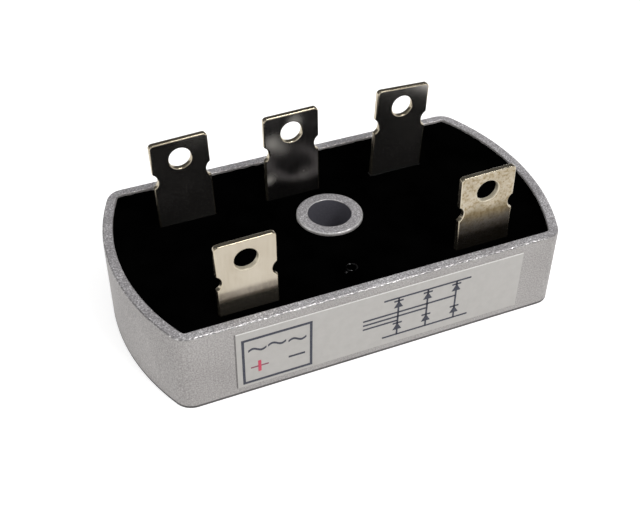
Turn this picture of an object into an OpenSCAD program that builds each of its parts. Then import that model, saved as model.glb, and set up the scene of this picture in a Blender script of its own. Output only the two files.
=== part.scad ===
// Three-phase bridge rectifier in a potted aluminium tray: five tab terminals
// stand out of black epoxy, round a tube boss that takes one mounting screw.
// Millimetres. The origin is on the underside, on the mounting hole's axis.
// +X runs along the tray and the labelled wall faces -Y.

/* [Case] */
// Length of the tray over the crowns of its curved ends
case_l = 72; // [68:0.5:90]
// Width of the tray over its straight walls
case_w = 38.4; // [36.4:0.2:46]
// Height of the tray from underside to rim
case_h = 14.1; // [12:0.1:20]
// How far each curved end bulges past its corners
end_bulge = 4.8; // [3:0.1:6.5]
// Radius of the four outer corners in plan
corner_r = 3; // [2:0.1:4.5]
// Thickness of the side walls
wall = 1.65; // [1.2:0.05:2]
// Radius of the four cavity corners in plan
cavity_corner_r = 0.8; // [0.5:0.1:2]
// Thickness of the floor
floor_t = 2.5; // [1.6:0.1:4]
// Break of the outer edges at rim and underside
edge_break = 0.35; // [0.15:0.05:0.8]

/* [Mounting boss] */
// Outer diameter of the tube boss
boss_d = 10.8; // [9:0.1:12]
// Diameter of the mounting hole
bore_d = 7; // [5:0.1:7.6]
// Break of the boss's outer top edge
boss_break = 0.3; // [0.1:0.05:0.6]

/* [Potting] */
// Depth of the epoxy's surface below the rim
pot_drop = 1.05; // [0.4:0.05:2.5]
// Diameter of the blister that an air bubble left in the epoxy
blister_d = 1.7; // [0.8:0.1:3]
// Height of that blister
blister_h = 0.3; // [0.1:0.05:0.38]

/* [Terminals] */
// Width of each tab
tab_w = 9.3; // [8:0.1:10.4]
// Thickness of the tab's sheet
tab_t = 0.9; // [0.6:0.05:1.2]
// Radius of the tab's top corners
tab_corner_r = 0.7; // [0.3:0.1:1.5]
// Diameter of the hole in each tab
tab_hole_d = 3.6; // [3:0.1:4.8]
// Distance from the tab's top edge down to the hole's centre
hole_drop = 3.4; // [3:0.1:3.9]
// Distance from the tab's top edge down to the side notches
notch_drop = 6.6; // [6:0.1:9]
// Radius of the side notches
notch_r = 1.5; // [1:0.1:2]
// Depth of the side notches
notch_depth = 0.75; // [0.4:0.05:0.95]
// Length of the soldered foot under each tab
foot_l = 4.2; // [3:0.1:4.6]
// Inside radius of the bend between foot and tab
bend_r = 0.5; // [0.3:0.1:1]
// Height of the AC tabs above the epoxy
ac_rise = 15.95; // [13:0.05:20]
// Height of the DC tabs above the epoxy
dc_rise = 13.35; // [11:0.05:20]
// Spacing of the three AC tabs
ac_pitch = 18.5; // [17.5:0.1:19.5]
// How far the AC row's middle lies to the left of the hole
ac_offset = 2.85; // [1.5:0.05:3.5]
// Distance from the hole's axis back to the AC tabs' front faces
ac_row_y = 7.8; // [7:0.1:8.8]
// Spacing of the two DC tabs
dc_pitch = 38.8; // [37:0.2:42]
// Gap from the labelled wall's inside to the DC tabs' front faces
dc_wall_gap = 2.15; // [1.6:0.05:2.8]

/* [Circuit] */
// Side of each square diode chip
die_w = 5.2; // [4:0.1:5.6]
// Thickness of each diode chip
die_t = 0.3; // [0.2:0.05:0.5]
// Thickness of each soldered joint
solder_t = 0.12; // [0.08:0.01:0.25]
// Thickness of the insulating sheet under the circuit
sheet_t = 0.65; // [0.4:0.05:1.2]
// Thickness of the two copper busbar plates
plate_t = 1; // [0.6:0.1:1.6]
// Thickness of the three copper straps
strap_t = 0.8; // [0.5:0.1:1.2]
// Width of each strap's forward arm
strap_w = 5.2; // [4:0.1:5.6]
// Gap kept between the boss and the live copper beside it
boss_gap = 1.2; // [0.8:0.1:1.5]

/* [Label] */
// Length of the label on the front wall
label_l = 47.9; // [30:0.1:52]
// How far the label's middle lies to the right of the hole
label_shift = 0.85; // [-2:0.05:2]
// Bare wall below the label
label_below = 1.5; // [0.8:0.1:3]
// Bare wall above the label
label_above = 1.55; // [0.9:0.05:3]
// Thickness of the label
label_t = 0.1; // [0.05:0.01:0.2]

/* [Hidden] */

small = 0.01;                    // overrun that lets a cut pass clean through a face
corner_ease = 0.03;              // the corner cones stand out this far, so they cross the straight slopes
round_fn = 96;                   // facets drawn on bores, notches and corners
end_fn = 360;                    // facets drawn on the large end arcs

// the tabs were soldered by hand, so each stands a little out of true
ac_x_error = [0.15, -0.2, 0.1];
ac_rise_error = [-0.2, 0, 0.2];
ac_lean = [-2.2, -1.3, 2.3];     // degrees, positive leans the top towards +X
dc_rise_error = [-0.45, 0.45];
dc_lean = [-1.2, -1.6];

// plan of the tray
half_l = case_l / 2;
half_w = case_w / 2;
end_r = (half_w * half_w + end_bulge * end_bulge) / (2 * end_bulge);
end_cx = half_l - end_r;         // centre of the +X end's arc
inner_half_w = half_w - wall;
pot_z = case_h - pot_drop;

// the circuit's stack, from the cavity floor upwards
sheet_gap = 0.6;                 // play round the insulating sheet
sheet_z = floor_t;
plate_z = sheet_z + sheet_t;
die_z = plate_z + plate_t + solder_t;
strap_z = die_z + die_t + solder_t;
dc_foot_z = plate_z + plate_t + solder_t;
ac_foot_z = strap_z + strap_t + solder_t;

// rows of terminals, and the chips in front of and behind the boss
neck_h = 1;                      // level length of tab above the bend
plate_margin = 0.4;              // copper left showing round what is soldered to it
part_gap = 0.5;                  // space left between neighbours on one plate
plate_gap = 1;                   // least space between the two plates
ac_x = [for (i = [0:2]) (i - 1) * ac_pitch - ac_offset + ac_x_error[i]];
dc_x = [-dc_pitch / 2, dc_pitch / 2];
dc_row_y = -inner_half_w + dc_wall_gap;
arm_x2 = boss_d / 2 + boss_gap + strap_w / 2;
arm_x = [ac_x[0], -arm_x2, arm_x2];
die_plus_y = dc_row_y + foot_l + part_gap + die_w / 2;
die_minus_y = ac_row_y + foot_l + part_gap;

// edges of the plates and straps
plate_x = dc_pitch / 2 + tab_w / 2 + 4;
plate_front_y = dc_row_y - plate_margin;
plus_back_y = die_plus_y + die_w / 2 + plate_margin;
minus_front_y = ac_row_y - 1.5;
minus_back_y = die_minus_y + die_w / 2 + plate_margin;
minus_left_x = dc_x[1] - tab_w / 2 - plate_margin;
plus_right_x = min(arm_x2 + die_w / 2 + plate_margin, minus_left_x - plate_gap);
minus_arm_w = 8.5;               // width of the minus plate's run past the boss
strap_front_y = die_plus_y - die_w / 2;
strap_back_y = die_minus_y + die_w / 2;
pad_w = tab_w + 2 * plate_margin;

aluminium = [0.70, 0.69, 0.68];
epoxy = [0.03, 0.03, 0.03];
nickel = [0.76, 0.73, 0.66];
copper = [0.75, 0.42, 0.27];
solder = [0.62, 0.63, 0.65];
silicon = [0.28, 0.29, 0.33];
ceramic = [0.93, 0.92, 0.88];
sticker = [0.78, 0.77, 0.74];

// ---- plan of the tray: straight walls, arc ends, tangent corner arcs ----

// centre of the +X +Y corner's arc, for a plan set in by inset
function corner_c(inset, r) =
    let (cy = half_w - inset - r, reach = end_r - inset - r)
    [end_cx + sqrt(reach * reach - cy * cy), cy];

// the wedge that the arc trims off: from inside it, past the sharp corner
function corner_wedge(inset, r) =
    let (c = corner_c(inset, r), big_r = end_r - inset, w = half_w - inset,
         sharp = [end_cx + sqrt(big_r * big_r - w * w), w],
         near = c + (sharp - c) / 3,
         far = sharp + (sharp - c) / 2,
         t = [end_cx, 0] + (c - [end_cx, 0]) * big_r / (big_r - r))
    [near, [c[0], w], far, t];

module four_corners() {
    for (mx = [0, 1], my = [0, 1])
        mirror([mx, 0, 0]) mirror([0, my, 0]) children();
}

module tray_plan(inset, r) {
    big_r = end_r - inset;
    difference() {
        intersection() {
            square([2 * case_l, 2 * (half_w - inset)], center = true);
            for_end(1) circle(big_r, $fn = end_fn);
            for_end(-1) circle(big_r, $fn = end_fn);
        }
        four_corners() difference() {
            polygon(corner_wedge(inset, r));
            translate(corner_c(inset, r)) circle(r, $fn = round_fn);
        }
    }
}

module for_end(side) {
    translate([side * end_cx, 0, 0]) children();
}

// a slice of the tray's outside whose edge slopes in by its own height
module sloped_slice(h) {
    difference() {
        intersection() {
            rotate([90, 0, 90]) linear_extrude(2 * case_l, center = true)
                polygon([[-half_w, 0], [half_w, 0], [half_w - h, h], [h - half_w, h]]);
            for_end(1) cylinder(h, end_r, end_r - h, $fn = end_fn);
            for_end(-1) cylinder(h, end_r, end_r - h, $fn = end_fn);
        }
        four_corners() translate([0, 0, -small]) difference() {
            linear_extrude(h + 2 * small) polygon(corner_wedge(0, corner_r));
            translate(corner_c(0, corner_r))
                cylinder(h + 2 * small, corner_r + corner_ease, corner_r - h + small, $fn = round_fn);
        }
    }
}

// ---- case ----

module boss_outside(h) {
    cylinder(h - boss_break, d = boss_d, $fn = round_fn);
    translate([0, 0, h - boss_break])
        cylinder(boss_break, d1 = boss_d, d2 = boss_d - 2 * boss_break, $fn = round_fn);
}

module case() {
    color(aluminium) difference() {
        union() {
            difference() {
                union() {
                    translate([0, 0, edge_break]) linear_extrude(case_h - 2 * edge_break) tray_plan(0, corner_r);
                    translate([0, 0, case_h - edge_break]) sloped_slice(edge_break);
                    translate([0, 0, edge_break]) mirror([0, 0, 1]) sloped_slice(edge_break);
                }
                translate([0, 0, floor_t]) linear_extrude(case_h) tray_plan(wall, cavity_corner_r);
            }
            boss_outside(case_h);
        }
        translate([0, 0, -small]) cylinder(case_h + 2 * small, d = bore_d, $fn = round_fn);
    }
}

// ---- potting: fills the cavity and keeps the shape of all that it covers ----

blister_at = [-1.8, -12.6];      // where the bubble came up
blister_r = (blister_d * blister_d / 4 + blister_h * blister_h) / (2 * blister_h);

module blister() {
    intersection() {
        translate([blister_at[0], blister_at[1], pot_z + blister_h - blister_r]) sphere(blister_r, $fn = round_fn);
        translate([blister_at[0], blister_at[1], pot_z - small]) cylinder(blister_h + 1, d = blister_d + 1, $fn = round_fn);
    }
}

module potting() {
    color(epoxy) difference() {
        union() {
            difference() {
                translate([0, 0, floor_t]) linear_extrude(pot_z - floor_t) tray_plan(wall, cavity_corner_r);
                translate([0, 0, floor_t - small]) cylinder(case_h, d = boss_d, $fn = round_fn);
            }
            blister();
        }
        insulating_sheet();
        plate_plus();
        plate_minus();
        for (i = [0:2]) {
            strap_ac(i);
            die_plus(i);
            die_minus(i);
            terminal_ac(i);
        }
        for (i = [0:1]) terminal_dc(i);
        solder_under_dies();
        solder_over_dies();
        solder_under_feet();
    }
}

// ---- label ----

module label() {
    color(sticker)
        translate([label_shift - label_l / 2, -half_w - label_t, label_below])
            cube([label_l, label_t, case_h - label_below - label_above]);
}

// ---- circuit ----

module insulating_sheet() {
    color(ceramic) translate([0, 0, sheet_z]) linear_extrude(sheet_t) difference() {
        tray_plan(wall + sheet_gap, cavity_corner_r);
        circle(d = boss_d + 2 * sheet_gap, $fn = round_fn);
    }
}

module plate_block(x0, x1, y0, y1) {
    translate([x0, y0, plate_z]) cube([x1 - x0, y1 - y0, plate_t]);
}

module boss_clearance() {
    translate([0, 0, plate_z - small])
        cylinder(plate_t + 2 * small, d = boss_d + 2 * boss_gap, $fn = round_fn);
}

module plate_plus() {
    color(copper) difference() {
        plate_block(-plate_x, plus_right_x, plate_front_y, plus_back_y);
        boss_clearance();
    }
}

// runs behind the boss, round its +X side and forward to the minus terminal
module plate_minus() {
    color(copper) difference() {
        union() {
            plate_block(-plate_x, plate_x, minus_front_y, minus_back_y);
            plate_block(plate_x - minus_arm_w, plate_x, plate_front_y, minus_back_y);
            plate_block(minus_left_x, plate_x, plate_front_y, plus_back_y);
        }
        boss_clearance();
    }
}

module strap_block(x0, x1, y0, y1) {
    translate([x0, y0, strap_z]) cube([x1 - x0, y1 - y0, strap_t]);
}

// a pad under the AC terminal's foot, and an arm forward to the plus chip
module strap_ac(i) {
    arm0 = arm_x[i] - strap_w / 2;
    arm1 = arm_x[i] + strap_w / 2;
    color(copper) {
        strap_block(min(ac_x[i] - pad_w / 2, arm0), max(ac_x[i] + pad_w / 2, arm1),
                    ac_row_y - plate_margin, strap_back_y);
        strap_block(arm0, arm1, strap_front_y, strap_back_y);
    }
}

module chip(x, y, z, t) {
    translate([x - die_w / 2, y - die_w / 2, z]) cube([die_w, die_w, t]);
}

module die_plus(i) {
    color(silicon) chip(arm_x[i], die_plus_y, die_z, die_t);
}

module die_minus(i) {
    color(silicon) chip(ac_x[i], die_minus_y, die_z, die_t);
}

module all_dies(z) {
    for (i = [0:2]) {
        chip(arm_x[i], die_plus_y, z, solder_t);
        chip(ac_x[i], die_minus_y, z, solder_t);
    }
}

module solder_under_dies() {
    color(solder) all_dies(plate_z + plate_t);
}

module solder_over_dies() {
    color(solder) all_dies(die_z + die_t);
}

// ---- terminals: one stamping, bent to an L and soldered by its foot ----

// how far the foot stands to one side of where the leaning tab leaves the epoxy
function foot_x(neck_z, lean) = -(pot_z - neck_z) * tan(lean);

function neck_over(foot_z) = foot_z + bend_r + tab_t + neck_h;

// the tab's face above the neck: rounded top corners and a notch in each side
module tab_face(height) {
    difference() {
        union() {
            translate([-tab_w / 2, -neck_h / 2]) square([tab_w, height - tab_corner_r + neck_h / 2]);
            translate([tab_corner_r - tab_w / 2, height - 2 * tab_corner_r])
                square([tab_w - 2 * tab_corner_r, 2 * tab_corner_r]);
            for (side = [-1, 1])
                translate([side * (tab_w / 2 - tab_corner_r), height - tab_corner_r])
                    circle(tab_corner_r, $fn = round_fn);
        }
        for (side = [-1, 1])
            translate([side * (tab_w / 2 - notch_depth + notch_r), height - notch_drop])
                circle(notch_r, $fn = round_fn);
    }
}

// a level foot, bend and neck, and above them the tab at its own lean
module terminal(x, row_y, foot_z, top_z, lean) {
    bend_out = bend_r + tab_t;
    neck_z = neck_over(foot_z);
    tab_h = (top_z - pot_z) + (pot_z - neck_z) / cos(lean);
    color(nickel) translate([x + foot_x(neck_z, lean), row_y, 0]) {
        translate([-tab_w / 2, bend_out, foot_z]) cube([tab_w, foot_l - bend_out, tab_t]);
        translate([-tab_w / 2, bend_out, foot_z + bend_out]) rotate([0, 90, 0]) bend();
        translate([-tab_w / 2, 0, foot_z + bend_out]) cube([tab_w, tab_t, neck_h]);
        translate([0, 0, neck_z]) rotate([0, lean, 0]) difference() {
            translate([0, tab_t, 0]) rotate([90, 0, 0]) linear_extrude(tab_t) tab_face(tab_h);
            translate([0, -small, tab_h - hole_drop]) rotate([-90, 0, 0])
                cylinder(tab_t + 2 * small, d = tab_hole_d, $fn = round_fn);
        }
    }
}

// the quarter turn of sheet between foot and tab, along +Z here
module bend() {
    bend_out = bend_r + tab_t;
    intersection() {
        difference() {
            cylinder(tab_w, r = bend_out, $fn = round_fn);
            translate([0, 0, -small]) cylinder(tab_w + 2 * small, r = bend_r, $fn = round_fn);
        }
        translate([0, -bend_out, 0]) cube([bend_out, bend_out, tab_w]);
    }
}

module terminal_ac(i) {
    terminal(ac_x[i], ac_row_y, ac_foot_z, pot_z + ac_rise + ac_rise_error[i], ac_lean[i]);
}

module terminal_dc(i) {
    terminal(dc_x[i], dc_row_y, dc_foot_z, pot_z + dc_rise + dc_rise_error[i], dc_lean[i]);
}

module foot_joint(x, row_y, foot_z, lean) {
    bend_out = bend_r + tab_t;
    translate([x + foot_x(neck_over(foot_z), lean) - tab_w / 2, row_y + bend_out, foot_z - solder_t])
        cube([tab_w, foot_l - bend_out, solder_t]);
}

module solder_under_feet() {
    color(solder) {
        for (i = [0:2]) foot_joint(ac_x[i], ac_row_y, ac_foot_z, ac_lean[i]);
        for (i = [0:1]) foot_joint(dc_x[i], dc_row_y, dc_foot_z, dc_lean[i]);
    }
}

case();
potting();
label();
insulating_sheet();
plate_plus();
plate_minus();
strap_ac(0);  // strap_ac_1
strap_ac(1);  // strap_ac_2
strap_ac(2);  // strap_ac_3
terminal_ac(0);  // terminal_ac_1
terminal_ac(1);  // terminal_ac_2
terminal_ac(2);  // terminal_ac_3
terminal_dc(0);  // terminal_plus
terminal_dc(1);  // terminal_minus
die_plus(0);  // die_plus_1
die_plus(1);  // die_plus_2
die_plus(2);  // die_plus_3
die_minus(0);  // die_minus_1
die_minus(1);  // die_minus_2
die_minus(2);  // die_minus_3
solder_under_dies();
solder_over_dies();
solder_under_feet();
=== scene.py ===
import math

import bmesh
import bpy
from mathutils import Matrix, Vector, noise


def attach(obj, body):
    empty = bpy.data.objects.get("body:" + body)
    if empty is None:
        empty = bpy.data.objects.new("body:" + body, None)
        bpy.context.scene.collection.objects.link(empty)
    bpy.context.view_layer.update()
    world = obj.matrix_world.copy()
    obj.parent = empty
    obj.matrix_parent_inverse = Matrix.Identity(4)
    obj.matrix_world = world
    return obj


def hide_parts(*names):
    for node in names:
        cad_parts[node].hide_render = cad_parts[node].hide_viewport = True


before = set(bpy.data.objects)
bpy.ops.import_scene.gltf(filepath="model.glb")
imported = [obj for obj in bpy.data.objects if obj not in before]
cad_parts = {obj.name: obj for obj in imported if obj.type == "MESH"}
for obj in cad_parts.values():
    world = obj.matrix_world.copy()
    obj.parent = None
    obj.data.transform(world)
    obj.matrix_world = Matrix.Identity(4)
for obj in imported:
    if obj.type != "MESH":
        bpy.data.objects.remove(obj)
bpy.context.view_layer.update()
print("stage: packed part loaded,", len(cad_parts), "nodes")

mm = 0.001
up = Vector((0, 0, 1))
front = Vector((0, -1, 0))

meshing = {
    "weld": 0.0005,           # millimetres
    "sharpAngle": 40,
    "flatLimit": 0.9999,      # how squarely a face has to lie to count as flat
    "level": 1e-4,            # heights nearer than this are the same
}


def toLinear(hexText):
    channels = [int(hexText[i:i + 2], 16) / 255 for i in (1, 3, 5)]
    return tuple(c / 12.92 if c <= 0.04045 else ((c + 0.055) / 1.055) ** 2.4 for c in channels) + (1.0,)


# stops are the places and colours of a colour ramp
def addNode(tree, kind, settings=None, inputs=None, stops=()):
    node = tree.nodes.new(kind)
    for key, value in (settings or {}).items():
        setattr(node, key, value)
    for key, value in (inputs or {}).items():
        if isinstance(value, bpy.types.NodeSocket):
            tree.links.new(value, node.inputs[key])
        else:
            node.inputs[key].default_value = value
    if stops:
        elements = node.color_ramp.elements
        for extra in stops[2:]:
            elements.new(0.5)
        for element, (place, hexText) in zip(elements, stops):
            element.position = place
            element.color = toLinear(hexText)
    return node


def newMaterial(name):
    material = bpy.data.materials.new(name)
    material.use_nodes = True
    return material, material.node_tree, material.node_tree.nodes["Principled BSDF"]


def perMm(size):
    return 1 / (size * mm)  # a texture scale whose cells measure size millimetres


def onlyVerts(geom):
    return [g for g in geom if isinstance(g, bmesh.types.BMVert)]


def onlyEdges(geom):
    return [g for g in geom if isinstance(g, bmesh.types.BMEdge)]


def edgesOf(verts):
    return list(dict.fromkeys(e for v in verts for e in v.link_edges))


def facesOf(verts):
    return list(dict.fromkeys(f for v in verts for f in v.link_faces))


# flatWay keeps the faces across that direction truly flat, so that a mirror finish doesn't bend at them
def finishPiece(name, bm, materials, replaced=(), flatWay=None):
    bmesh.ops.remove_doubles(bm, verts=bm.verts, dist=meshing["weld"])
    bmesh.ops.recalc_face_normals(bm, faces=bm.faces)
    flatFaces = {f for f in bm.faces if flatWay and abs(f.normal.dot(flatWay)) > meshing["flatLimit"]}
    for edge in bm.edges:
        if len(edge.link_faces) == 2:
            gentle = edge.calc_face_angle() < math.radians(meshing["sharpAngle"])
            edge.smooth = gentle and sum(f in flatFaces for f in edge.link_faces) != 1
    bmesh.ops.scale(bm, vec=(mm, mm, mm), verts=bm.verts)
    mesh = bpy.data.meshes.new(name)
    bm.to_mesh(mesh)
    bm.free()
    mesh.shade_smooth()
    for material in materials:
        mesh.materials.append(material)
    piece = bpy.data.objects.new(name, mesh)
    bpy.context.scene.collection.objects.link(piece)
    weighted = piece.modifiers.new("weighted normals", "WEIGHTED_NORMAL")
    weighted.keep_sharp = True
    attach(piece, "root")
    if replaced:
        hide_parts(*replaced)
    return piece


def extrudeLoop(bm, edges, shift, widen=1.0):
    grown = bmesh.ops.extrude_edge_only(bm, edges=edges)["geom"]
    verts = onlyVerts(grown)
    bmesh.ops.scale(bm, verts=verts, vec=(widen, widen, 1))
    bmesh.ops.translate(bm, verts=verts, vec=shift)
    return [e for e in onlyEdges(grown) if all(v in verts for v in e.verts)]


# a slow wave and a weaker quick one, both in waves per millimetre
def uneven(point, slow, quick, quickShare):
    return noise.noise(point * slow) + quickShare * noise.noise(point * quick)


def circleLoop(bm, radius, z, steps):
    level = Matrix.Translation((0, 0, z))
    return edgesOf(bmesh.ops.create_circle(bm, radius=radius, segments=steps, matrix=level)["verts"])


def softenEdges(bm, edges, size, steps):
    bmesh.ops.bevel(bm, geom=edges, offset=size, offset_type="OFFSET", affect="EDGES", segments=steps,
                    profile=0.5, material=-1, clamp_overlap=False)


tray = {
    "length": 72.0,
    "width": 38.4,
    "height": 14.1,
    "endBulge": 4.8,
    "cornerRadius": 3.0,
    "wall": 1.65,
    "cavityCorner": 0.8,
    "floor": 2.5,
    "pourDrop": 1.05,         # from the rim down to the epoxy
    "outerEdge": 0.35,
    "lowerEdge": 0.15,
    "innerEdge": 0.25,
    "shadowBand": 0.5,             # height of the strip of painted contact shadow along the bottom
    "bossRadius": 5.4,
    "bossEdge": 0.38,
    "boreRadius": 3.5,
    "boreEdge": 0.2,
    "cornerSteps": 10,
    "endSteps": 56,
    "sideSteps": 120,
    "roundSteps": 96,
    "castWobble": 0.035,      # how far the blasted edges wander
    "castWaves": (1.3, 3.1, 0.5),
    "wobbleDepth": 0.6,       # and how far down from the rim
    "wobbleLift": 0.3,        # most that it may lower a level face
    "rimBand": 0.12,
    "rounded": (0.35, 0.97),  # how far up the faces of a rounded edge look
    "forward": 0.3,           # inner edges that look this far to the front, towards the light, get the painted highlight too
    "slack": 0.02,            # a face this far outside a radius still belongs to it
}
halfWidth = tray["width"] / 2
endRadius = (halfWidth ** 2 + tray["endBulge"] ** 2) / (2 * tray["endBulge"])
endCentre = tray["length"] / 2 - endRadius


# follows the loose edges from one end of a chain to the other
def walkFrom(start):
    order = [start]
    while True:
        ahead = [e.other_vert(order[-1]) for e in order[-1].link_edges if not e.link_faces]
        ahead = [v for v in ahead if v not in order[-2:]]
        if not ahead:
            return order
        order.append(ahead[0])


# one loop of the tray's plan: corner, bulged end, corner, long side, then the same turned round
def planLoop(bm, inset, cornerRadius, z):
    reach = endRadius - inset - cornerRadius
    cy = halfWidth - inset - cornerRadius
    cx = endCentre + math.sqrt(reach ** 2 - cy ** 2)
    endHalf = math.atan2(cy, cx - endCentre)
    turn = math.pi / 2 - endHalf
    start = tip = bm.verts.new((cx, inset - halfWidth, z))
    for centre, angle, steps in (((cx, -cy, z), turn, tray["cornerSteps"]),
                                 ((endCentre, 0, z), 2 * endHalf, tray["endSteps"]),
                                 ((cx, cy, z), turn, tray["cornerSteps"])):
        spun = bmesh.ops.spin(bm, geom=[tip], cent=centre, axis=up, angle=angle, steps=steps)
        tip = spun["geom_last"][0]
    half = walkFrom(start)
    otherHalf = onlyVerts(bmesh.ops.duplicate(bm, geom=half + edgesOf(half))["geom"])
    bmesh.ops.rotate(bm, verts=otherHalf, cent=(0, 0, z), matrix=Matrix.Rotation(math.pi, 3, "Z"))
    ends = [v for v in half + otherHalf if len(v.link_edges) == 1]
    sides = [bm.edges.new([v for v in ends if v.co.y * y > 0]) for y in (1, -1)]
    bmesh.ops.subdivide_edges(bm, edges=sides, cuts=tray["sideSteps"] - 1)
    return [e for e in bm.edges if not e.link_faces and abs(e.verts[0].co.z - z) < meshing["level"]]


# which finish a face of the tray has
def trayFinish(face):
    middle = face.calc_center_median()
    radius = math.hypot(middle.x, middle.y)
    # rounded edges that face outwards or towards the front get wear with a painted highlight
    wornAndLit = face.normal.xy.dot(middle.xy) > 0 or face.normal.dot(front) > tray["forward"]
    low, high = tray["rounded"]
    rounding = middle.z > tray["height"] - tray["outerEdge"] and low < face.normal.z < high
    # round the boss and the bore the rounded edge is a painted highlight
    if rounding and wornAndLit:
        return "bossHighlight" if radius < tray["bossRadius"] + tray["slack"] else "wearAndHighlightEdge"
    # the bore's wall gets painted shade
    if radius < tray["boreRadius"] + tray["slack"]:
        return "bore"
    if middle.z > tray["height"] - tray["rimBand"] or rounding:
        return "rim"
    # the strip along the bottom, all but the underside, gets a painted contact shadow
    underside = face.normal.z < -meshing["flatLimit"]
    if middle.z < tray["shadowBand"] and radius > tray["bossRadius"] and not underside:
        return "shadedLowerEdge"
    return "wall"


def buildTray():
    bm = bmesh.new()
    top = tray["height"]
    outerLow = planLoop(bm, 0, tray["cornerRadius"], 0)
    shadowBandTop = extrudeLoop(bm, outerLow, (0, 0, tray["shadowBand"]))
    outerTop = extrudeLoop(bm, shadowBandTop, (0, 0, top - tray["shadowBand"]))
    innerLow = planLoop(bm, tray["wall"], tray["cavityCorner"], tray["floor"])
    innerTop = extrudeLoop(bm, innerLow, (0, 0, top - tray["floor"]))
    bmesh.ops.bridge_loops(bm, edges=outerTop + innerTop)
    boreLow = circleLoop(bm, tray["boreRadius"], 0, tray["roundSteps"])
    boreTop = extrudeLoop(bm, boreLow, (0, 0, top))
    bossTop = extrudeLoop(bm, boreTop, (0, 0, 0), tray["bossRadius"] / tray["boreRadius"])
    bossLow = extrudeLoop(bm, bossTop, (0, 0, tray["floor"] - top))
    bmesh.ops.triangle_fill(bm, edges=innerLow + bossLow, use_beauty=True)
    bmesh.ops.triangle_fill(bm, edges=outerLow + boreLow, use_beauty=True)
    bmesh.ops.recalc_face_normals(bm, faces=bm.faces)  # a bevel between faces that disagree turns outwards
    softenEdges(bm, outerTop, tray["outerEdge"], 4)
    softenEdges(bm, outerLow, tray["lowerEdge"], 3)
    softenEdges(bm, innerTop, tray["innerEdge"], 3)
    softenEdges(bm, bossTop, tray["bossEdge"], 4)
    softenEdges(bm, boreTop + boreLow, tray["boreEdge"], 3)
    bmesh.ops.recalc_face_normals(bm, faces=bm.faces)
    # the blasting leaves every upper edge slightly uneven
    for v in bm.verts:
        if v.co.z > top - tray["wobbleDepth"]:
            push = Vector((v.normal.x, v.normal.y, min(v.normal.z, tray["wobbleLift"])))
            v.co -= push * abs(uneven(v.co, *tray["castWaves"])) * tray["castWobble"]
    order = list(castFinishes)
    for face in bm.faces:
        face.material_index = order.index(trayFinish(face))
    return finishPiece("cast_tray", bm, castFinishes.values(), ["case"], flatWay=up)


blasting = {
    "cloud": 9,               # millimetres across the faint patches
    "pit": 0.8,               # size and depth of a pit against the grain
    "pitDepth": 0.3,
}


# cast aluminium, bead blasted: satin light grey whose fine grain breaks up every highlight
def blastedAluminium(name, grain, stops, roughness, bumpStrength, metallic, mottle=0.25):
    material, tree, shader = newMaterial(name)
    place = addNode(tree, "ShaderNodeTexCoord").outputs["Object"]
    coarse = addNode(tree, "ShaderNodeTexNoise", {"noise_dimensions": "3D"},
                     {"Vector": place, "Scale": perMm(grain), "Detail": 3.0, "Roughness": 0.7})
    fine = addNode(tree, "ShaderNodeTexVoronoi", {"feature": "F1"},
                   {"Vector": place, "Scale": perMm(grain * blasting["pit"])})
    cloud = addNode(tree, "ShaderNodeTexNoise", {},
                    {"Vector": place, "Scale": perMm(blasting["cloud"]), "Detail": 2.0})
    mixed = addNode(tree, "ShaderNodeMath", {"operation": "MULTIPLY_ADD"},
                    {0: cloud.outputs["Fac"], 1: mottle, 2: coarse.outputs["Fac"]})
    centred = addNode(tree, "ShaderNodeMath", {"operation": "SUBTRACT"},
                      {0: mixed.outputs[0], 1: mottle / 2})
    colour = addNode(tree, "ShaderNodeValToRGB", {}, {"Fac": centred.outputs[0]}, stops)
    tree.links.new(colour.outputs["Color"], shader.inputs["Base Color"])
    bump = addNode(tree, "ShaderNodeBump", {}, {
        "Strength": bumpStrength, "Distance": grain * blasting["pitDepth"] * mm,
        "Height": fine.outputs["Distance"]})
    tree.links.new(bump.outputs["Normal"], shader.inputs["Normal"])
    shader.inputs["Metallic"].default_value = metallic
    shader.inputs["Roughness"].default_value = roughness
    return material


# the grains are drawn two or three times as coarse as 0.1 mm beads leave them, so that they show
castFinishes = {
    # even and matt
    "wall": blastedAluminium("blasted cast aluminium", 0.24,
                             [(0.3, "#8b8786"), (0.5, "#aaa6a4"), (0.7, "#c6c3c1")], 0.55, 0.3, 0.3, 0.2),
    # sparkles more: its grains are coarser and further apart in tone, and its near-white specks are
    # painted glints
    "rim": blastedAluminium("blasted cast aluminium rim", 0.27,
                            [(0.3, "#7b787a"), (0.5, "#a7a4a6"), (0.7, "#f1eff1")], 0.45, 0.5, 0.2),
    # painted shade in the bore: dark, smooth and dull, a little blue
    "bore": blastedAluminium("bore wall with painted shade", 0.3,
                             [(0.3, "#55545c"), (0.5, "#5b5a62"), (0.7, "#62616a")], 0.7, 0.1, 0.1),
    # bright broken dashes, partly wear where hands and boxes rubbed it and partly painted highlight
    "wearAndHighlightEdge": blastedAluminium("rubbed aluminium edge with painted highlight", 0.5,
                                 [(0.36, "#8b8889"), (0.52, "#a8a5a5"), (0.62, "#e8e6e5")],
                                 0.28, 0.45, 0.6),
    # painted contact shadow: a thin dark line along the bottom
    "shadedLowerEdge": blastedAluminium("lower edge with painted contact shadow", 0.4,
                                  [(0.3, "#4c4a49"), (0.7, "#6a6766")], 0.7, 0.2, 0.1),
    # painted highlight, brighter still, all the way round
    "bossHighlight": blastedAluminium("boss edge with painted highlight", 0.5,
                                 [(0.3, "#b8b5b5"), (0.5, "#dddbda"), (0.62, "#fbfaf9")], 0.33, 0.45, 0.5),
}
buildTray()
print("stage: cast tray")


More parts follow.
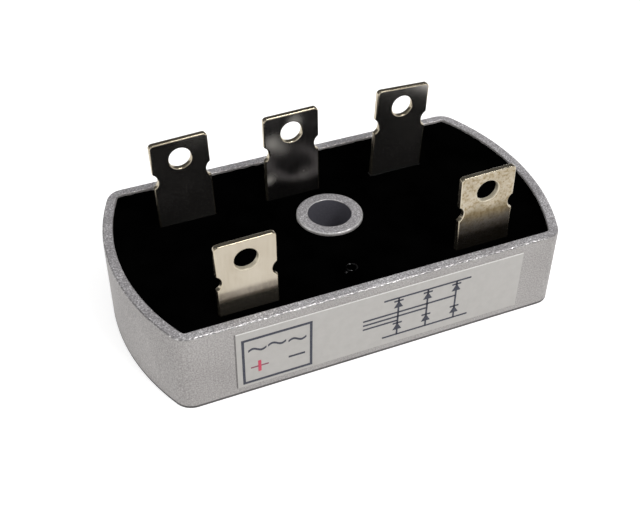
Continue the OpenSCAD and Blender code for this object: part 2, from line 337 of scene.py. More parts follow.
tab = {
    "width": 9.3,
    "thickness": 0.9,
    "cornerRadius": 0.7,
    "holeRadius": 1.8,
    "holeDrop": 3.4,
    "notchDrop": 6.6,
    "notchRadius": 1.5,
    "notchDepth": 0.75,
    "edge": 0.2,
    "footLength": 4.2,
    "bendRadius": 0.5,
    "neck": 1.0,
    "acRow": 7.8,             # from the hole's axis back to the AC tabs
    "dcGap": 2.15,            # from the front wall's inside to the DC tabs
}
stack = {                     # what lies under the tabs' feet
    "sheet": 0.65,
    "plate": 1.0,
    "solder": 0.12,
    "die": 0.3,
    "strap": 0.8,
}
pottingTop = tray["height"] - tray["pourDrop"]
dcFoot = tray["floor"] + stack["sheet"] + stack["plate"] + stack["solder"]
acFoot = dcFoot + stack["die"] + stack["solder"] + stack["strap"] + stack["solder"]
acRow = tab["acRow"]
dcRow = tab["dcGap"] + tray["wall"] - halfWidth
terminals = {
    # name: node, x at the epoxy, front face y, foot height, rise over the epoxy, lean in degrees, meniscus
    "ac_terminal_1": ("terminal_ac_1", -21.20, acRow, acFoot, 15.75, -2.2, 0.14),
    "ac_terminal_2": ("terminal_ac_2", -3.05, acRow, acFoot, 15.95, -1.3, 0.14),
    "ac_terminal_3": ("terminal_ac_3", 15.75, acRow, acFoot, 16.15, 2.3, 0.34),
    "plus_terminal": ("terminal_plus", -19.40, dcRow, dcFoot, 12.90, -1.2, 0.1),
    "minus_terminal": ("terminal_minus", 19.40, dcRow, dcFoot, 13.80, -1.6, 0.1),
}


def arcPoints(cx, cy, radius, start, end, steps):
    angles = [math.radians(start + (end - start) * i / steps) for i in range(steps + 1)]
    return [(cx + radius * math.cos(a), cy + radius * math.sin(a)) for a in angles]


# the stamped outline of a tab, as a flat curve with rounded punching edges
def tabMesh(height):
    half = tab["width"] / 2
    r = tab["cornerRadius"]
    notchY = height - tab["notchDrop"]
    notchX = half - tab["notchDepth"] + tab["notchRadius"]
    spread = math.degrees(math.acos((notchX - half) / tab["notchRadius"]))
    right = arcPoints(notchX, notchY, tab["notchRadius"], 180 + spread, 180 - spread, 12)
    right += arcPoints(half - r, height - r, r, 0, 90, 8)
    left = [(-x, y) for x, y in reversed(right)]
    outline = [(-half, -tab["neck"] / 2), (half, -tab["neck"] / 2)] + right + left
    hole = arcPoints(0, height - tab["holeDrop"], tab["holeRadius"], 360, 0, 48)[:-1]
    curve = bpy.data.curves.new("tab outline", "CURVE")
    curve.dimensions = "2D"
    curve.fill_mode = "BOTH"
    for points in (outline, hole):
        spline = curve.splines.new("POLY")
        spline.points.add(len(points) - 1)
        for point, (x, y) in zip(spline.points, points):
            point.co = (x, y, 0, 1)
        spline.use_cyclic_u = True
    curve.bevel_depth = tab["edge"]
    curve.bevel_resolution = 3
    curve.offset = -tab["edge"]
    curve.extrude = tab["thickness"] / 2 - tab["edge"]
    shown = bpy.data.objects.new("tab outline", curve)
    bpy.context.scene.collection.objects.link(shown)
    bpy.context.view_layer.update()
    mesh = bpy.data.meshes.new_from_object(shown.evaluated_get(bpy.context.evaluated_depsgraph_get()))
    bpy.data.objects.remove(shown)
    return mesh


# neck, bend and foot under the epoxy, swept sideways from their profile
def addFoot(bm, footX, row, foot, neckZ):
    thickness = tab["thickness"]
    bendOut = tab["bendRadius"] + thickness
    side = footX - tab["width"] / 2
    section = [bm.verts.new((side, row + dy, neckZ)) for dy in (0, thickness)]
    edge = extrudeLoop(bm, [bm.edges.new(section)], (0, 0, -tab["neck"]))[0]
    bent = bmesh.ops.spin(bm, geom=[edge], cent=(footX, row + bendOut, foot + bendOut), axis=(1, 0, 0),
                          angle=math.pi / 2, steps=8)
    grown = bmesh.ops.extrude_edge_only(bm, edges=onlyEdges(bent["geom_last"])[:1])["geom"]
    bmesh.ops.translate(bm, verts=onlyVerts(grown), vec=(0, tab["footLength"] - bendOut, 0))
    profile = [f for f in bm.faces if all(abs(v.co.x - side) < meshing["level"] for v in f.verts)]
    swept = bmesh.ops.extrude_face_region(bm, geom=profile, use_keep_orig=True)["geom"]
    bmesh.ops.translate(bm, verts=onlyVerts(swept), vec=(tab["width"], 0, 0))


def buildTerminal(name, node, x, row, foot, rise, lean, meniscus):
    neckZ = foot + tab["bendRadius"] + tab["thickness"] + tab["neck"]
    slope = math.radians(lean)
    height = rise + (pottingTop - neckZ) / math.cos(slope)
    footX = x - (pottingTop - neckZ) * math.tan(slope)
    leaning = Matrix.Rotation(slope, 4, "Y")
    bm = bmesh.new()
    bm.from_mesh(tabMesh(height))
    centre = Matrix.Translation((footX, row + tab["thickness"] / 2, neckZ))
    bmesh.ops.transform(bm, matrix=centre @ leaning @ Matrix.Rotation(math.pi / 2, 4, "X"), verts=bm.verts)
    addFoot(bm, footX, row, foot, neckZ)
    bmesh.ops.recalc_face_normals(bm, faces=bm.faces)
    hole = Matrix.Translation((footX, row, neckZ)) @ leaning @ Vector((0, 0, height - tab["holeDrop"]))
    for face in bm.faces:
        if abs(face.normal.y) < meshing["flatLimit"]:
            middle = face.calc_center_median()
            inHole = math.hypot(middle.x - hole.x, middle.z - hole.z) < tab["holeRadius"] + tab["edge"]
            face.material_index = 2 if inHole else 1
    finishes = [platedFaces[name], punchedNickel, shearedNickel if row < 0 else punchedNickel]
    return finishPiece(name, bm, finishes, [node], flatWay=front)


plate = {
    "grain": 0.35,            # rolling grain, upright, drawn coarse enough to show
    "stretch": 0.08,          # how much the grain is drawn out upwards
    "grainShare": 0.35,       # its part in the tone, beside the clouds
    "grainDepth": 0.02,
    "cloud": 5,               # millimetres across the patches of tone
    "stainTop": 21.8,         # flux stain on one tab, dark up to here
    "stainSoft": 4.6,
    "stainWander": 3.0,
    "speck": 0.4,             # fine tarnish dots on the stained tab
    "bow": 0.12,              # how far one tab's sheet is out of true
    "bowWave": 7,
    # painted reflections, bright places on that tab: x, z, reach and strength
    "reflectionSpots": ((-2.8, 27.4, 2.2, 0.55), (-6.7, 24.1, 2.8, 0.7), (-4.9, 22.7, 2.2, 0.4),
             (-7.3, 17.3, 1.8, 1.0), (-1.2, 17.6, 1.9, 0.2)),
    "spotRoughness": 0.34,
}


# the colour of a plated face where flux crept up it: dark below, yellow at its edge, dotted all over
def stainedColour(tree, place, cloud, colour):
    height = addNode(tree, "ShaderNodeSeparateXYZ", {}, {"Vector": place})
    uneven = addNode(tree, "ShaderNodeMath", {"operation": "MULTIPLY_ADD"},
                     {0: cloud, 1: plate["stainWander"] * mm, 2: height.outputs["Z"]})
    stainTop = plate["stainTop"] + plate["stainWander"] / 2
    clean = addNode(tree, "ShaderNodeMapRange", {"interpolation_type": "SMOOTHSTEP"},
                    {"Value": uneven.outputs[0], "From Min": (stainTop - plate["stainSoft"]) * mm,
                     "From Max": stainTop * mm})
    stain = addNode(tree, "ShaderNodeValToRGB", {}, {"Fac": clean.outputs["Result"]},
                    [(0.0, "#6b6b6f"), (0.55, "#aaa18c"), (1.0, "#ffffff")])
    speck = addNode(tree, "ShaderNodeTexNoise", {},
                    {"Vector": place, "Scale": perMm(plate["speck"]), "Detail": 2.0})
    dots = addNode(tree, "ShaderNodeValToRGB", {}, {"Fac": speck.outputs["Fac"]},
                   [(0.3, "#cfc4ac"), (0.5, "#f6f2ea"), (0.62, "#ffffff")])
    for layer in (stain, dots):
        colour = addNode(tree, "ShaderNodeMix", {"data_type": "RGBA", "blend_type": "MULTIPLY"},
                         {0: 1.0, 6: colour, 7: layer.outputs["Color"]}).outputs[2]
    return colour


# nickel plated brass, rolled along the tab: a soft mirror with fine upright grain
# haze is the thin film from handling that keeps it from being a pure mirror
def nickelPlate(name, dull, bright, roughness, haze, bow=0.0, stained=False, reflectionSpots=()):
    material, tree, shader = newMaterial(name)
    place = addNode(tree, "ShaderNodeTexCoord").outputs["Object"]
    stretched = addNode(tree, "ShaderNodeMapping", {},
                        {"Vector": place, "Scale": (1.0, 1.0, plate["stretch"])})
    brush = addNode(tree, "ShaderNodeTexNoise", {}, {"Vector": stretched.outputs["Vector"],
                                                     "Scale": perMm(plate["grain"]), "Detail": 3.0})
    cloud = addNode(tree, "ShaderNodeTexNoise", {},
                    {"Vector": place, "Scale": perMm(plate["cloud"]), "Detail": 3.0})
    both = addNode(tree, "ShaderNodeMath", {"operation": "MULTIPLY_ADD"},
                   {0: brush.outputs["Fac"], 1: plate["grainShare"], 2: cloud.outputs["Fac"]})
    low, high = 0.45, 0.9  # the two noises together stay in this range
    colour = addNode(tree, "ShaderNodeValToRGB", {}, {"Fac": both.outputs[0]},
                     [(low, dull), (high, bright)]).outputs["Color"]
    if stained:
        colour = stainedColour(tree, place, cloud.outputs["Fac"], colour)
    rough = addNode(tree, "ShaderNodeMapRange", {}, {
        "Value": both.outputs[0], "From Min": low, "From Max": high,
        "To Min": roughness * 0.85, "To Max": roughness * 1.15}).outputs["Result"]
    # each spot is a painted reflection: a pale colour mixed in, and a little rougher
    for x, z, reach, strength in reflectionSpots:
        away = addNode(tree, "ShaderNodeVectorMath", {"operation": "DISTANCE"},
                       {0: place, 1: (x * mm, acRow * mm, z * mm)})
        spotMask = addNode(tree, "ShaderNodeMapRange", {"interpolation_type": "SMOOTHSTEP"}, {
            "Value": away.outputs["Value"], "From Min": 0.0, "From Max": reach * mm,
            "To Min": strength, "To Max": 0.0}).outputs["Result"]
        colour = addNode(tree, "ShaderNodeMix", {"data_type": "RGBA"},
                         {0: spotMask, 6: colour, 7: toLinear("#dedad2")}).outputs[2]
        rough = addNode(tree, "ShaderNodeMath", {"operation": "MULTIPLY_ADD"},
                        {0: spotMask, 1: plate["spotRoughness"], 2: rough}).outputs[0]
    tree.links.new(colour, shader.inputs["Base Color"])
    tree.links.new(rough, shader.inputs["Roughness"])
    wave = addNode(tree, "ShaderNodeTexNoise", {},
                   {"Vector": place, "Scale": perMm(plate["bowWave"]), "Detail": 0.0})
    bowed = addNode(tree, "ShaderNodeBump", {}, {"Strength": 1.0 if bow else 0.0, "Distance": bow * mm,
                                                 "Height": wave.outputs["Fac"]})
    grain = addNode(tree, "ShaderNodeBump", {}, {
        "Strength": 0.05, "Distance": plate["grainDepth"] * mm, "Height": brush.outputs["Fac"],
        "Normal": bowed.outputs["Normal"]})
    tree.links.new(grain.outputs["Normal"], shader.inputs["Normal"])
    shader.inputs["Metallic"].default_value = 1 - haze
    return material


# the brass shows through at the punched edges, so they look warmer than the faces
punchedNickel = nickelPlate("punched edge of nickel plated brass", "#b0a591", "#c6bca8", 0.22, 0.03)
# torn rather than cut, so it scatters light evenly
shearedNickel = nickelPlate("sheared wall of a punched hole", "#c6bca6", "#e0d7c2", 0.42, 0.5)
# clean, a neutral soft mirror
rearNickel = nickelPlate("nickel plated brass", "#aca9a4", "#bebab4", 0.16, 0.028)
platedFaces = {
    "ac_terminal_1": rearNickel,
    # dull and grey, darker than the other tabs, with painted reflections as its bright places
    "ac_terminal_2": nickelPlate("darker nickel plated brass with painted reflections", "#4f4d4c", "#6b6866", 0.2, 0.05,
                                 bow=plate["bow"], reflectionSpots=plate["reflectionSpots"]),
    "ac_terminal_3": rearNickel,
    # a warm, slightly milky mirror
    "plus_terminal": nickelPlate("yellowed nickel plated brass", "#ada392", "#bdb4a5", 0.16, 0.06),
    # yellow, dotted and dark at its foot
    "minus_terminal": nickelPlate("flux stained nickel plated brass", "#a49985", "#bdb4a3", 0.2, 0.15,
                                  stained=True),
}
for name, numbers in terminals.items():
    buildTerminal(name, *numbers)
print("stage: terminals")


epoxy = {
    "wallClimb": 0.6,         # how high it wets the tray's wall
    "bossClimb": 0.5,
    "reach": 1.2,             # width of the meniscus
    "ledge": 0.1,             # strip of full height along the wall
    "wallSteps": (0.08, 0.1, 0.14, 0.2, 0.28, 0.4),
    "bossSteps": (0.72, 0.5, 0.32, 0.17, 0.07, 0.0),  # shares of the reach that are left
    "unevenness": 0.14,
    "shoreWaves": (0.8, 2.3, 0.6),
    "tabReach": 0.55,         # width of the small menisci round the tabs
    "tabSteps": (0.2, 0.14, 0.1, 0.07, 0.03),
    "tabDeep": 0.3,
    "tabSunk": 0.005,         # keeps the menisci's blocks out of the surface
    "glossFrom": 0.3,         # a meniscus higher than this catches light,
    "glossWithin": 0.05,      # this close to its tab
    "tightest": 0.06,         # smallest corner of the inner rings
    "cloud": 6,               # millimetres across the faint patches
}


# concave rise towards an edge, at a distance from it
def climb(distance, height, reach):
    return height * max(0.0, 1 - distance / reach) ** 3


def buildEpoxy():
    bm = bmesh.new()
    rim = planLoop(bm, tray["wall"], tray["cavityCorner"], tray["floor"])
    border = extrudeLoop(bm, rim, (0, 0, pottingTop + epoxy["wallClimb"] - tray["floor"]))
    # level ledge, then a concave meniscus down to the pour
    distance = 0.0
    for step in (epoxy["ledge"],) + epoxy["wallSteps"]:
        distance += step
        fall = climb(distance - epoxy["ledge"], epoxy["wallClimb"], epoxy["reach"])
        corner = max(epoxy["tightest"], tray["cavityCorner"] - distance)
        grown = planLoop(bm, tray["wall"] + distance, corner, pottingTop + fall)
        bmesh.ops.bridge_loops(bm, edges=border + grown)
        border = grown
    # the same up to the boss
    reach = epoxy["reach"]
    lastRadius = tray["bossRadius"] + reach
    ring = circleLoop(bm, lastRadius, pottingTop, tray["roundSteps"])
    bmesh.ops.triangle_fill(bm, edges=border + ring, use_beauty=True)
    level = pottingTop
    for share in epoxy["bossSteps"]:
        radius = tray["bossRadius"] + reach * share
        rise = pottingTop + climb(reach * share, epoxy["bossClimb"], reach) - level
        ring = extrudeLoop(bm, ring, (0, 0, rise), radius / lastRadius)
        lastRadius = radius
        level += rise
    low = extrudeLoop(bm, ring, (0, 0, tray["floor"] - level))
    bmesh.ops.triangle_fill(bm, edges=low + rim, use_beauty=True)
    unevenShore(bm)
    for node, x, row, foot, rise, lean, meniscus in terminals.values():
        wetTab(bm, x, row + tab["thickness"] / 2, meniscus)
    return finishPiece("epoxy_fill", bm, [blackEpoxy, glossyEpoxy], ["potting"])


# the pour wandered up the walls, so its shore is uneven
def unevenShore(bm):
    crest = pottingTop + epoxy["wallClimb"]
    for v in bm.verts:
        if abs(v.co.z - crest) < meshing["level"]:
            v.co.z += epoxy["unevenness"] * uneven(v.co, *epoxy["shoreWaves"])


# a closed block sunk in the pour, whose lid is drawn up to the tab in narrowing rings
def wetTab(bm, x, y, height):
    reach = epoxy["tabReach"]
    deep = epoxy["tabDeep"]
    size = Matrix.Diagonal((tab["width"] + 2 * reach, tab["thickness"] + 2 * reach, deep, 1))
    middle = Matrix.Translation((x, y, pottingTop - deep / 2 - epoxy["tabSunk"]))
    made = bmesh.ops.create_cube(bm, size=1, matrix=middle @ size)["verts"]
    lid = max(facesOf(made), key=lambda f: f.calc_center_median().z)
    distance = reach
    for step in epoxy["tabSteps"]:
        rise = climb(distance - step, height, reach) - climb(distance, height, reach)
        distance -= step
        glossy = height > epoxy["glossFrom"] and distance < epoxy["glossWithin"]
        lid.material_index = 1 if glossy else 0
        bmesh.ops.inset_region(bm, faces=[lid], thickness=step, depth=0, use_even_offset=True)
        bmesh.ops.translate(bm, verts=lid.verts, vec=(0, 0, rise))


bubble = {
    "place": (-1.8, -12.6),
    "radius": 0.85,
    "lip": 0.13,
    "dome": 0.12,
    "lumps": 0.22,
    "lumpWave": 2.2,          # waves per millimetre
    "sway": 0.1,
    "sunk": 0.03,
    "spatter": (0.3, 0.22, 0.1),
    "spatterShift": (-1.25, -0.75, 0),
}


# the bubble that came up and set half open: an uneven shiny lip round a low dome
def buildBlister():
    bm = bmesh.new()
    radius = bubble["radius"]
    centre = Matrix.Translation((radius, 0, 0)) @ Matrix.Rotation(math.pi / 2, 4, "X")
    made = bmesh.ops.create_circle(bm, radius=bubble["lip"], segments=10, matrix=centre)["verts"]
    bmesh.ops.spin(bm, geom=made + edgesOf(made), cent=(0, 0, 0), axis=up, angle=math.tau, steps=40,
                   use_merge=True)
    dome = bmesh.ops.create_uvsphere(bm, u_segments=24, v_segments=12, radius=1,
                                     matrix=Matrix.Diagonal((radius, radius, bubble["dome"], 1)))["verts"]
    for face in facesOf(dome):
        face.material_index = 1
    wave = bubble["lumpWave"]
    lumpSlice, swaySlice = 3.7, 9.1  # two levels of the noise that don't repeat each other
    for v in bm.verts:
        lump = noise.noise(Vector((v.co.x * wave, v.co.y * wave, lumpSlice)))
        v.co.z += bubble["lumps"] * lump - bubble["sunk"]
        v.co.x += bubble["sway"] * noise.noise(Vector((v.co.x, v.co.y, swaySlice)))
    place = Vector((*bubble["place"], pottingTop))
    bmesh.ops.translate(bm, verts=bm.verts, vec=place)
    beside = Matrix.Translation(place + Vector(bubble["spatterShift"]))
    bmesh.ops.create_uvsphere(bm, u_segments=16, v_segments=8, radius=1,
                              matrix=beside @ Matrix.Diagonal((*bubble["spatter"], 1)))
    return finishPiece("epoxy_blister", bm, [glossyEpoxy, blackEpoxy])


# black filled epoxy poured and left to level: a dead black with barely any sheen
def blackCasting(name, specular, roughness):
    material, tree, shader = newMaterial(name)
    place = addNode(tree, "ShaderNodeTexCoord").outputs["Object"]
    cloud = addNode(tree, "ShaderNodeTexNoise", {},
                    {"Vector": place, "Scale": perMm(epoxy["cloud"]), "Detail": 2.0})
    colour = addNode(tree, "ShaderNodeValToRGB", {}, {"Fac": cloud.outputs["Fac"]},
                     [(0.3, "#010101"), (0.7, "#030303")])
    tree.links.new(colour.outputs["Color"], shader.inputs["Base Color"])
    shader.inputs["Specular IOR Level"].default_value = specular
    shader.inputs["Roughness"].default_value = roughness
    return material


blackEpoxy = blackCasting("poured black epoxy", 0.0, 0.5)
glossyEpoxy = blackCasting("blistered black epoxy", 0.6, 0.12)  # a skin with shiny curves
buildEpoxy()
buildBlister()
print("stage: epoxy")


label = {
    "left": -23.1,
    "right": 24.8,
    "low": 1.5,
    "high": 12.55,
    "film": 0.06,
    "ink": 0.03,
    "line": 0.41,
    "trim": 0.22,             # painted highlight along the top, painted shadow line down the left
    "trimDepth": 0.02,
    "gap": 0.01,              # keeps the thin pieces from sharing an edge
    "frame": (-22.29, -11.14, 1.98, 11.01),
}
marks = {
    "tildes": [(-19.87, 8.56), (-16.77, 8.65), (-13.55, 8.31)],
    "tildeWidth": 2.85,
    "tildeHeight": 0.62,
    "tildeRise": 0.12,
    "line": 0.38,
    "plus": (-19.58, 5.03),
    "plusArm": (1.4, 0.12),   # half its length and half its width
    "plusPost": (0.24, 1.1),
    "postProud": 0.005,       # the post is printed over the arm
    "minus": (-13.66, 5.04),
    "minusArm": (1.32, 0.17),
}
drawing = {
    "corner": (0.6, 3.0),     # left end of the lower rail
    "gap": 5.0,
    "height": 7.6,
    "line": 0.3,
    "lead": 3.4,
    "leadStep": 0.85,
    "diode": 0.9,             # from its middle to its tip
    "bar": 0.87,              # half the bar's length against that
    "diodeRise": 1.5,
}
labelFace = -halfWidth - label["film"]
upright = Matrix.Rotation(math.pi / 2, 4, "X")


def flatBar(bm, x0, x1, z0, z1, depth, back, index=0):
    size = Matrix.Diagonal((x1 - x0, depth, z1 - z0, 1))
    middle = Matrix.Translation(((x0 + x1) / 2, back - depth / 2, (z0 + z1) / 2))
    made = bmesh.ops.create_cube(bm, size=1, matrix=middle @ size)["verts"]
    for face in facesOf(made):
        face.material_index = index
    return made


def crossBar(bm, place, halves, index=0, proud=0.0):
    (x, z), (wide, high) = place, halves
    flatBar(bm, x - wide, x + wide, z - high, z + high, label["ink"] + proud, labelFace, index)


def drawnLine(bm, x0, z0, x1, z1):
    length = math.hypot(x1 - x0, z1 - z0)
    half = drawing["line"] / 2
    made = flatBar(bm, -length / 2, length / 2, -half, half, label["ink"], labelFace)
    turned = Matrix.Rotation(-math.atan2(z1 - z0, x1 - x0), 4, "Y")
    middle = Matrix.Translation(((x0 + x1) / 2, 0, (z0 + z1) / 2))
    bmesh.ops.transform(bm, verts=made, matrix=middle @ turned)


# gives flat faces the ink's thickness and stands them on the label
def raiseInk(bm, faces, x, z):
    grown = onlyVerts(bmesh.ops.extrude_face_region(bm, geom=faces)["geom"])
    bmesh.ops.translate(bm, verts=grown, vec=(0, 0, label["ink"]))
    verts = dict.fromkeys([v for f in faces if f.is_valid for v in f.verts] + grown)
    bmesh.ops.transform(bm, verts=list(verts), matrix=Matrix.Translation((x, labelFace, z)) @ upright)


def tilde(bm, x, z):
    width = marks["tildeWidth"]
    made = bmesh.ops.create_grid(bm, x_segments=24, y_segments=1, size=0.5,
                                 matrix=Matrix.Diagonal((width, marks["line"], 1, 1)))["verts"]
    for v in made:
        along = v.co.x / width
        v.co.y += marks["tildeHeight"] * (marks["tildeRise"] * along - math.sin(along * math.tau) / 2)
    raiseInk(bm, facesOf(made), x, z)


def printFrame(bm):
    x0, x1, z0, z1 = label["frame"]
    made = bmesh.ops.create_grid(bm, x_segments=1, y_segments=1, size=0.5,
                                 matrix=Matrix.Diagonal((x1 - x0, z1 - z0, 1, 1)))["verts"]
    middle = made[0].link_faces[0]
    ring = bmesh.ops.inset_region(bm, faces=[middle], thickness=label["line"], use_boundary=True,
                                  use_even_offset=True)["faces"]
    bmesh.ops.delete(bm, geom=[middle], context="FACES_ONLY")
    raiseInk(bm, ring, (x0 + x1) / 2, (z0 + z1) / 2)


def diode(bm, x, z):
    radius = drawing["diode"]
    made = bmesh.ops.create_circle(bm, cap_ends=True, radius=radius, segments=3)["verts"]
    raiseInk(bm, facesOf(made), x, z)
    half = radius * drawing["bar"]
    drawnLine(bm, x - half, z + radius, x + half, z + radius)


# a plain drawing of the circuit: six diodes between the + and - rails, an AC line into each pair
def bridgeDrawing(bm):
    left, low = drawing["corner"]
    right = left + drawing["gap"] * 3
    high = low + drawing["height"]
    middle = (low + high) / 2
    drawnLine(bm, left, high, right, high)
    drawnLine(bm, left, low, right, low)
    for i in range(3):
        x = left + drawing["gap"] * (i + 0.5)
        drawnLine(bm, x, low, x, high)
        lead = middle + (i - 1) * drawing["leadStep"]
        drawnLine(bm, left - drawing["lead"], lead, x, lead)
        for z in (low + drawing["diodeRise"], high - drawing["diodeRise"]):
            diode(bm, x, z)


def buildLabel():
    bm = bmesh.new()
    left, right, low, high = (label[k] for k in ("left", "right", "low", "high"))
    trim, deep, gap = label["trim"], label["trimDepth"], label["gap"]
    flatBar(bm, left, right, low, high, label["film"], -halfWidth)
    # a painted highlight along the top edge, then a painted shadow down the left edge
    flatBar(bm, left + 2 * gap, right - 2 * gap, high - trim, high - gap, deep, labelFace + gap, 1)
    flatBar(bm, left - trim, left - gap, low + 2 * gap, high - 2 * gap, deep, -halfWidth, 2)
    return finishPiece("label_film", bm, [stickerFilm, filmTopHighlight, filmLeftShadow], ["label"])


# terminal marks in a printed frame, then a plain six diode bridge drawing
def buildPrint():
    bm = bmesh.new()
    printFrame(bm)
    for x, z in marks["tildes"]:
        tilde(bm, x, z)
    crossBar(bm, marks["plus"], marks["plusArm"], 2)
    crossBar(bm, marks["plus"], marks["plusPost"], 1, marks["postProud"])
    crossBar(bm, marks["minus"], marks["minusArm"])
    bridgeDrawing(bm)
    return finishPiece("label_print", bm, [printInk, redInk, plumInk])


# a thin matt layer, such as film, ink or glue, faintly mottled
def mattLayer(name, dark, light, patch=0.3, detail=2.0, roughness=0.6, lightFrom=0.75):
    material, tree, shader = newMaterial(name)
    place = addNode(tree, "ShaderNodeTexCoord").outputs["Object"]
    cloud = addNode(tree, "ShaderNodeTexNoise", {},
                    {"Vector": place, "Scale": perMm(patch), "Detail": detail})
    colour = addNode(tree, "ShaderNodeValToRGB", {}, {"Fac": cloud.outputs["Fac"]},
                     [(0.3, dark), (lightFrom, light)])
    tree.links.new(colour.outputs["Color"], shader.inputs["Base Color"])
    shader.inputs["Roughness"].default_value = roughness
    return material


# a warm pale grey, clouded by the glue behind it
stickerFilm = mattLayer("matt polyester film", "#bdbab6", "#c3c0bc", 1.1, 4.0, 0.45, 0.7)
filmTopHighlight = mattLayer("painted highlight on the film's top edge", "#e6e4e1", "#f6f5f3")      # painted highlight: a thin, nearly white line
filmLeftShadow = mattLayer("painted shadow at the film's left edge", "#6f6c6b", "#8b8886")  # painted shadow: a thin dark line
printInk = mattLayer("dark screen ink", "#30323f", "#454855")     # thin, so the film greys it
redInk = mattLayer("red screen ink", "#d83a58", "#cc5a70")        # clear and slightly pink
plumInk = mattLayer("thin red screen ink", "#84485a", "#9c6270")  # the film shows through and dulls it
buildLabel()
buildPrint()
print("stage: label")


# the bare finishes of the circuit, which only show where the epoxy is taken away
def innerMaterial(name, dark, light, patch, metallic, roughness):
    material, tree, shader = newMaterial(name)
    place = addNode(tree, "ShaderNodeTexCoord").outputs["Object"]
    cloud = addNode(tree, "ShaderNodeTexNoise", {},
                    {"Vector": place, "Scale": perMm(patch), "Detail": 4.0})
    colour = addNode(tree, "ShaderNodeValToRGB", {}, {"Fac": cloud.outputs["Fac"]},
                     [(0.32, dark), (0.68, light)])
    tree.links.new(colour.outputs["Color"], shader.inputs["Base Color"])
    bump = addNode(tree, "ShaderNodeBump", {}, {"Strength": 0.2, "Distance": 0.02 * mm,
                                                "Height": cloud.outputs["Fac"]})
    tree.links.new(bump.outputs["Normal"], shader.inputs["Normal"])
    shader.inputs["Metallic"].default_value = metallic
    shader.inputs["Roughness"].default_value = roughness
    return material


innerFinishes = {
    # salmon, with a soft sheen from the rolls
    "copper_sheet": innerMaterial("rolled copper", "#a05a3c", "#c07a56", 1.5, 1.0, 0.35),
    # chalky off-white
    "ceramic_sheet": innerMaterial("alumina ceramic", "#dedad0", "#efece4", 2.0, 0.0, 0.6),
    # dark slate, half glassy
    "silicon_chip": innerMaterial("passivated silicon", "#3c3f48", "#585c68", 0.8, 0.6, 0.25),
    # bright grey, frosted in patches
    "solder_metal": innerMaterial("reflowed solder", "#8c8e92", "#b4b6ba", 0.7, 1.0, 0.3),
}
innerNodes = {
    "copper_sheet": ["plate_plus", "plate_minus", "strap_ac_1", "strap_ac_2", "strap_ac_3"],
    "ceramic_sheet": ["insulating_sheet"],
    "silicon_chip": ["die_plus_1", "die_plus_2", "die_plus_3",
                     "die_minus_1", "die_minus_2", "die_minus_3"],
    "solder_metal": ["solder_under_dies", "solder_over_dies", "solder_under_feet"],
}
for slotName, names in innerNodes.items():
    for name in names:
        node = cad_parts[name]
        node.data.materials.clear()
        node.data.materials.append(innerFinishes[slotName])
print("stage: inner circuit finishes")


studio = {                    # metres and watts
    "floorSize": 1.6,
    "floorDrop": 0.02 * mm,   # keeps it out of the tray's own underside
    "floorColour": "#dedede",
    "floorGlow": 0.62,        # what the camera and gloss see on top of the light
    "worldStrength": 0.54,
    "darkTop": 0.1,
    "darkFrom": 0.02,         # the dark begins this far above the horizon
    "darkTo": 0.2,
    "backTilt": 0.1,          # and a little lower at the back
    "aim": (0, 0, 0.01),
    "keyPlace": (0.16, -0.31, 0.48),
    "keySize": 0.22,
    "keyPower": 1.48,
    "fillPlace": (-0.45, -0.10, 0.45),
    "fillSize": 0.5,
    "fillPower": 0.45,
}


def buildFloor():
    bm = bmesh.new()
    bmesh.ops.create_grid(bm, x_segments=1, y_segments=1, size=studio["floorSize"],
                          matrix=Matrix.Translation((0, 0, -studio["floorDrop"])))
    mesh = bpy.data.meshes.new("floor")
    bm.to_mesh(mesh)
    bm.free()
    floor = bpy.data.objects.new("floor", mesh)
    bpy.context.scene.collection.objects.link(floor)
    material, tree, shader = newMaterial("matt white sweep")  # paper: no sheen, only soft shadows
    shader.inputs["Base Color"].default_value = toLinear(studio["floorColour"])
    shader.inputs["Roughness"].default_value = 0.9
    shader.inputs["Specular IOR Level"].default_value = 0.0
    path = addNode(tree, "ShaderNodeLightPath")
    seen = path.outputs["Is Camera Ray"]
    for ray in ("Is Glossy Ray", "Is Transmission Ray"):
        seen = addNode(tree, "ShaderNodeMath", {"operation": "MAXIMUM"},
                       {0: seen, 1: path.outputs[ray]}).outputs[0]
    glow = addNode(tree, "ShaderNodeMath", {"operation": "MULTIPLY"}, {0: seen, 1: studio["floorGlow"]})
    tree.links.new(glow.outputs[0], shader.inputs["Emission Strength"])
    shader.inputs["Emission Color"].default_value = toLinear("#ffffff")
    # clear from below, so that the underside can be looked at
    below = addNode(tree, "ShaderNodeMixShader", {}, {
        0: addNode(tree, "ShaderNodeNewGeometry").outputs["Backfacing"], 1: shader.outputs["BSDF"],
        2: addNode(tree, "ShaderNodeBsdfTransparent").outputs["BSDF"]})
    tree.links.new(below.outputs["Shader"], tree.nodes["Material Output"].inputs["Surface"])
    mesh.materials.append(material)


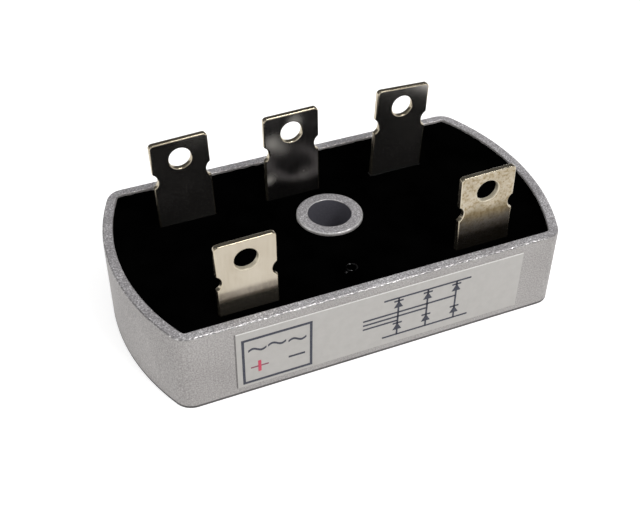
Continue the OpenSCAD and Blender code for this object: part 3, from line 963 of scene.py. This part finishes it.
# an even room whose upper back stays dark, so that gloss has something to show
def buildWorld():
    world = bpy.data.worlds.new("studio")
    bpy.context.scene.world = world
    world.use_nodes = True
    tree = world.node_tree
    path = addNode(tree, "ShaderNodeLightPath")
    way = addNode(tree, "ShaderNodeSeparateXYZ", {},
                  {"Vector": addNode(tree, "ShaderNodeTexCoord").outputs["Generated"]})
    slant = addNode(tree, "ShaderNodeMath", {"operation": "MULTIPLY_ADD"},
                    {0: way.outputs["Y"], 1: studio["backTilt"], 2: way.outputs["Z"]})
    glossy = addNode(tree, "ShaderNodeMapRange", {"interpolation_type": "SMOOTHSTEP"}, {
        "Value": slant.outputs[0], "From Min": studio["darkFrom"], "From Max": studio["darkTo"],
        "To Min": 1.0, "To Max": studio["darkTop"]})
    light = addNode(tree, "ShaderNodeMix", {"data_type": "FLOAT"}, {
        0: path.outputs["Is Glossy Ray"], 2: studio["worldStrength"], 3: glossy.outputs["Result"]})
    seen = addNode(tree, "ShaderNodeMath", {"operation": "MAXIMUM"},
                   {0: path.outputs["Is Camera Ray"], 1: path.outputs["Is Transmission Ray"]})
    level = addNode(tree, "ShaderNodeMix", {"data_type": "FLOAT"},
                    {0: seen.outputs[0], 2: light.outputs[0], 3: 1.0})
    background = tree.nodes["Background"]
    background.inputs["Color"].default_value = toLinear("#ffffff")
    tree.links.new(level.outputs[0], background.inputs["Strength"])


def areaLight(name):
    lamp = bpy.data.lights.new(name, "AREA")
    lamp.shape = "DISK"
    lamp.size = studio[name + "Size"]
    lamp.energy = studio[name + "Power"]
    light = bpy.data.objects.new(name, lamp)
    light.location = studio[name + "Place"]
    light.rotation_euler = (Vector(studio["aim"]) - light.location).to_track_quat("-Z", "Y").to_euler()
    bpy.context.scene.collection.objects.link(light)


camera = {                    # degrees and millimetres
    "azimuth": -23.832,
    "elevation": 40.356,
    "roll": 0.737,
    "distance": 173.259,
    "target": (-1.554, 0.0, 3.418),
    "lens": 58.256,
    "sensor": 36,
    "nearest": 10,
    "farthest": 10000,
}


def buildCamera():
    azimuth, elevation, roll = (math.radians(camera[k]) for k in ("azimuth", "elevation", "roll"))
    back = Vector((math.sin(azimuth) * math.cos(elevation), -math.cos(azimuth) * math.cos(elevation),
                   math.sin(elevation)))
    right = (-back).cross(up).normalized()
    top = right.cross(-back)
    turnedRight = right * math.cos(roll) + top * math.sin(roll)
    turnedTop = -right * math.sin(roll) + top * math.cos(roll)
    data = bpy.data.cameras.new("camera")
    data.lens = camera["lens"]
    data.sensor_width = camera["sensor"]
    data.clip_start = camera["nearest"] * mm
    data.clip_end = camera["farthest"] * mm
    eye = bpy.data.objects.new("camera", data)
    place = Matrix((turnedRight, turnedTop, back)).transposed().to_4x4()
    place.translation = (Vector(camera["target"]) + back * camera["distance"]) * mm
    eye.matrix_world = place
    bpy.context.scene.collection.objects.link(eye)
    bpy.context.scene.camera = eye


buildFloor()
buildWorld()
areaLight("key")
areaLight("fill")
buildCamera()
bpy.context.scene.view_settings.view_transform = "Standard"
print("stage: floor, light and camera")
